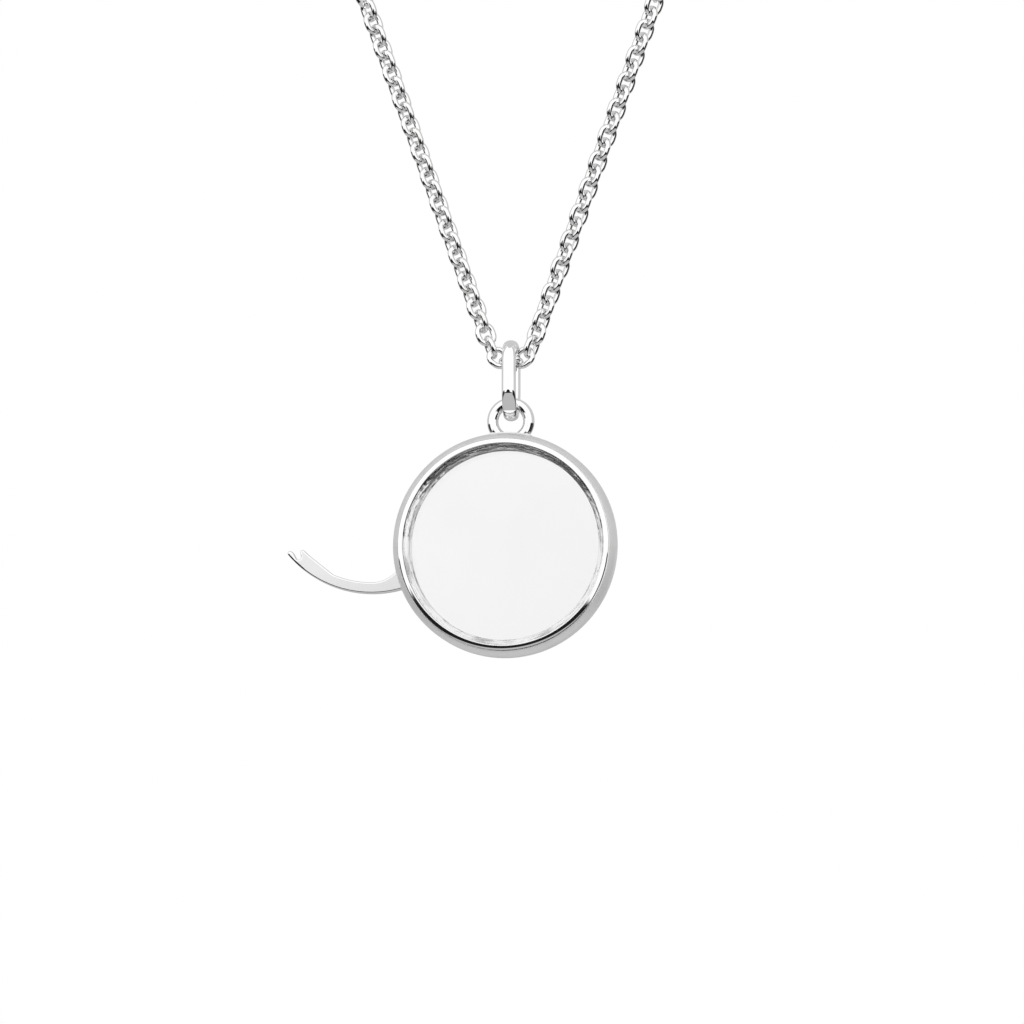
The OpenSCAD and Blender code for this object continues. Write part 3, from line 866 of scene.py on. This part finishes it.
def strand(name, mesh, first, last):
    """The links from first to last on both sides, as one piece."""
    bm = bmesh.new()
    for i in range(first, last):
        at, heading = places[i]
        for side in (1, -1) if i else (1,):
            before = len(bm.verts)
            bm.from_mesh(mesh)
            bm.verts.ensure_lookup_table()
            extra = EXTRA_TWIST * min(1, max(0, (TWISTED_LINKS - i) / (TWISTED_LINKS - 1)))
            twist = (45 if i % 2 else -45) + extra
            turn = heading if side > 0 else pi - heading
            there = Matrix.Translation((side * at.x, 0, at.y))
            headed = Matrix.Rotation(-turn, 4, "Y")
            twisted = Matrix.Rotation(radians(twist * side), 4, "X")
            bmesh.ops.transform(bm, matrix=there @ headed @ twisted, verts=bm.verts[before:])
    finish_piece(bm, name, "necklace", MILLIMETRES, [CHAIN], ["chain"],
                 weighted=False)


strand("near_links", fine_link, 0, NEAR_LINKS)
strand("far_links", plain_link, NEAR_LINKS, len(places))

# %% [markdown]
# ## Clasp
# The photograph doesn't show the fastening at the nape, so it is a plain turned barrel with two
# grooves, of the size that such a chain has. A ready cylinder could be cut to it, but one profile
# spun round the chain's line gives the rounded ends and the grooves at once.

# %% Barrel clasp
CLASP_END_R, CLASP_R, CLASP_ROUND = 1.1, 1.3, 0.2
GROOVE_X, GROOVE_W, GROOVE_D = 1.6, 0.3, 0.12
clasp = bmesh.new()
half = CLASP_LEN / 2
draw(clasp, (-half, 0), [
    (-half, CLASP_END_R),
    (-half + CLASP_ROUND, CLASP_END_R, -90, 5),
    (-GROOVE_X - GROOVE_W, CLASP_R),
    (-GROOVE_X - GROOVE_W / 2, CLASP_R - GROOVE_D),
    (-GROOVE_X, CLASP_R),
    (GROOVE_X, CLASP_R),
    (GROOVE_X + GROOVE_W / 2, CLASP_R - GROOVE_D),
    (GROOVE_X + GROOVE_W, CLASP_R),
    (half - CLASP_ROUND, CLASP_R),
    (half - CLASP_ROUND, CLASP_END_R, -90, 5),
    (half, 0)], close=False)
bmesh.ops.spin(clasp, geom=clasp.verts[:] + clasp.edges[:], cent=(0, 0, 0), axis=RIGHT,
               angle=2 * pi, steps=64, use_merge=True)
bmesh.ops.translate(clasp, verts=clasp.verts, vec=(0, 0, CLASP_R))
finish_piece(clasp, "barrel_clasp", "necklace", MILLIMETRES, [POLISHED], ["clasp"])

# %% [markdown]
# ## Floor
# A studio table would cut off the low view, so one pale face lies far below the locket. It is stage
# and no part of the object. Silver and glass don't see it, so that they mirror the room alone.

# %% Floor
FLOOR_HALF, FLOOR_Z = 4, -0.46
PALE, MATT = 0.9, 0.9
floor_bm = bmesh.new()
bmesh.ops.create_grid(floor_bm, x_segments=1, y_segments=1, size=FLOOR_HALF)
bmesh.ops.translate(floor_bm, verts=floor_bm.verts, vec=(0, 0, FLOOR_Z))
floor_mesh = bpy.data.meshes.new("floor")
floor_bm.to_mesh(floor_mesh)
floor_bm.free()
floor = bpy.data.objects.new("floor", floor_mesh)
bpy.context.scene.collection.objects.link(floor)
floor.visible_glossy = floor.visible_transmission = False
paint = bpy.data.materials.new("pale_floor")
paint.use_nodes = True
coat = paint.node_tree.nodes["Principled BSDF"].inputs
coat["Base Color"].default_value = (PALE, PALE, PALE, 1)
coat["Roughness"].default_value = MATT
floor_mesh.materials.append(paint)
print("floor at", FLOOR_Z, "m")

# %% [markdown]
# ## Light
# In a studio, a polished thing is lit by what stands round it. Lamps would only leave small spots on
# the silver. So the world is the room: it says for each direction how bright a ray finds it. A few
# helpers measure a direction, and mix one brightness into another.

# %% Studio world
world = bpy.data.worlds.new("studio")
bpy.context.scene.world = world
world.use_nodes = True
world.cycles.sampling_method = "NONE"
tree = world.node_tree
tree.nodes.clear()
look = node(tree, "ShaderNodeTexCoord").outputs["Generated"]


def along(direction):
    """How far a ray runs in a direction, from -1 to 1."""
    made = node(tree, "ShaderNodeVectorMath", operation="DOT_PRODUCT")
    connect(tree, look, made.inputs[0])
    made.inputs[1].default_value = direction
    return made.outputs["Value"]


def blended(mask, without, value):
    """One brightness where the mask is 0, another where it is 1."""
    return maths(tree, "ADD", maths(tree, "MULTIPLY", maths(tree, "SUBTRACT", 1.0, mask), without),
                 maths(tree, "MULTIPLY", mask, value))


def between(value, low, high, soft):
    """1 between two limits, 0 outside them."""
    return maths(tree, "MULTIPLY", remap(tree, value, low - soft, low + soft, 0, 1),
                 remap(tree, value, high - soft, high + soft, 1, 0))


up = along((0, 0, 1))
bearing = maths(tree, "ARCTAN2", along(way(VIEW_AZ + 90, 0)), along(way(VIEW_AZ, 0)))
print("room round the viewer's side at", VIEW_AZ, "degrees")

# %% [markdown]
# ### Walls
# A white wall stands in front, and grey ones stand beside, behind and over it. Below the horizon
# lies a black band, which draws the dark lines that make silver look like silver. In pure white all
# round it would look like paper. Behind the locket the band is grey, so that the back is no black
# shape.

# %% White wall, grey walls
GREY_ABOVE, WHITE = 0.6, 1.08
WALL_LEFT, WALL_RIGHT, WALL_SOFT = radians(-86), radians(60), radians(4)
WALL_TOP, CEILING = sin(radians(71)), sin(radians(75))
front_wall = maths(tree, "MULTIPLY", between(bearing, WALL_LEFT, WALL_RIGHT, WALL_SOFT),
                   remap(tree, up, WALL_TOP, CEILING, 1, 0))
above = blended(front_wall, GREY_ABOVE, WHITE)
print("walls", WHITE, "in front,", GREY_ABOVE, "elsewhere")

# %% Black band, grey behind and deep below
BLACK_FRONT, BLACK_SIDE, GREY_BEHIND, GREY_BELOW = 0.012, 0.05, 0.45, 0.5
FRONT_TO, SIDE_FROM = radians(50), radians(90)
SIDE_TO, BEHIND_FROM = radians(105), radians(140)
DEEP, BAND_FROM = sin(radians(-42)), sin(radians(-38))
turned_away = maths(tree, "ABSOLUTE", bearing)
black = remap(tree, turned_away, FRONT_TO, SIDE_FROM, BLACK_FRONT, BLACK_SIDE)
dark = blended(remap(tree, turned_away, SIDE_TO, BEHIND_FROM, 0, 1), black, GREY_BEHIND)
below = blended(remap(tree, up, DEEP, BAND_FROM, 0, 1), GREY_BELOW, dark)
print("band", BLACK_FRONT, "to", BLACK_SIDE, "and", GREY_BEHIND, "behind")

# %% [markdown]
# ### Where the band is seen
# Flat silver that faces the front mirrors one small patch of the room to the viewer. Under that
# patch the band starts as a wedge, which gives the rounded bezel its dark lines. It starts again far
# to both sides, and in between the white wall reaches down, for the light parts of the rim. A band
# all the way round would be simpler, but would darken the whole lower half.

# %% Wedge and sides
BLACK_FROM, BLACK_TO, WEDGE_SOFT = 205, 326, 0.035
LIGHT_LEFT, LIGHT_RIGHT, LIGHT_SOFT = radians(-64), radians(38), radians(3)
HORIZON_SOFT = 0.012
TO_THE_LEFT = 0.3
MIRROR_AZ = -VIEW_AZ - TO_THE_LEFT
mirror_way = way(MIRROR_AZ, -VIEW_EL)
aside = way(MIRROR_AZ + 90, 0)
lift = mirror_way.cross(aside)


def past(at):
    """1 on the side of a line through the mirror's direction that faces an angle, 0 on the other."""
    faced = aside * cos(radians(at)) + lift * sin(radians(at))
    return remap(tree, along(faced), -WEDGE_SOFT, WEDGE_SOFT, 0, 1)


wedge = maths(tree, "MULTIPLY", past(BLACK_FROM + 90), past(BLACK_TO - 90))
reaching_down = between(bearing, LIGHT_LEFT, LIGHT_RIGHT, LIGHT_SOFT)
far_out = maths(tree, "SUBTRACT", 1.0, reaching_down)
dim = maths(tree, "MULTIPLY", maths(tree, "MAXIMUM", wedge, far_out),
            remap(tree, up, -HORIZON_SOFT, HORIZON_SOFT, 1, 0))
room = blended(dim, above, below)
print("flat silver mirrors", [round(c, 3) for c in mirror_way])

# %% [markdown]
# ### Screen for the windows
# The windows are flat as well, and would mirror plain white. A small screen stands where they look.
# It falls from white to grey towards the lower right, as the sheen on the real glass does.

# %% Screen
SCREEN_LIGHT, SCREEN_GREY, SCREEN_HALF = 1.05, 0.5, 0.02
SCREEN_OUT, SCREEN_IN = cos(radians(2.2)), cos(radians(1.7))
LOWER_RIGHT = (aside - lift).normalized()
screen_at = LOWER_RIGHT.dot(mirror_way)
screen = remap(tree, along(LOWER_RIGHT), screen_at - SCREEN_HALF, screen_at + SCREEN_HALF,
               SCREEN_LIGHT, SCREEN_GREY, smooth=False)
seen = blended(remap(tree, along(mirror_way), SCREEN_OUT, SCREEN_IN, 0, 1), room, screen)
print("screen", SCREEN_LIGHT, "to", SCREEN_GREY)

# %% [markdown]
# ### Room and backdrop
# Only rays that silver or glass has mirrored find this room. All others find plain white, which
# makes the backdrop, also through the windows, and lights what isn't polished.

# %% World's output
path = node(tree, "ShaderNodeLightPath")
mirrored = node(tree, "ShaderNodeBackground")
connect(tree, seen, mirrored.inputs["Color"])
plain = node(tree, "ShaderNodeBackground")
plain.inputs["Color"].default_value = (1, 1, 1, 1)
choose = node(tree, "ShaderNodeMixShader")
connect(tree, maths(tree, "MINIMUM", path.outputs["Glossy Depth"], 1.0), choose.inputs["Fac"])
connect(tree, plain.outputs[0], choose.inputs[1])
connect(tree, mirrored.outputs[0], choose.inputs[2])
connect(tree, choose.outputs[0], node(tree, "ShaderNodeOutputWorld").inputs["Surface"])
print("world", world.name, "with", len(tree.nodes), "nodes")
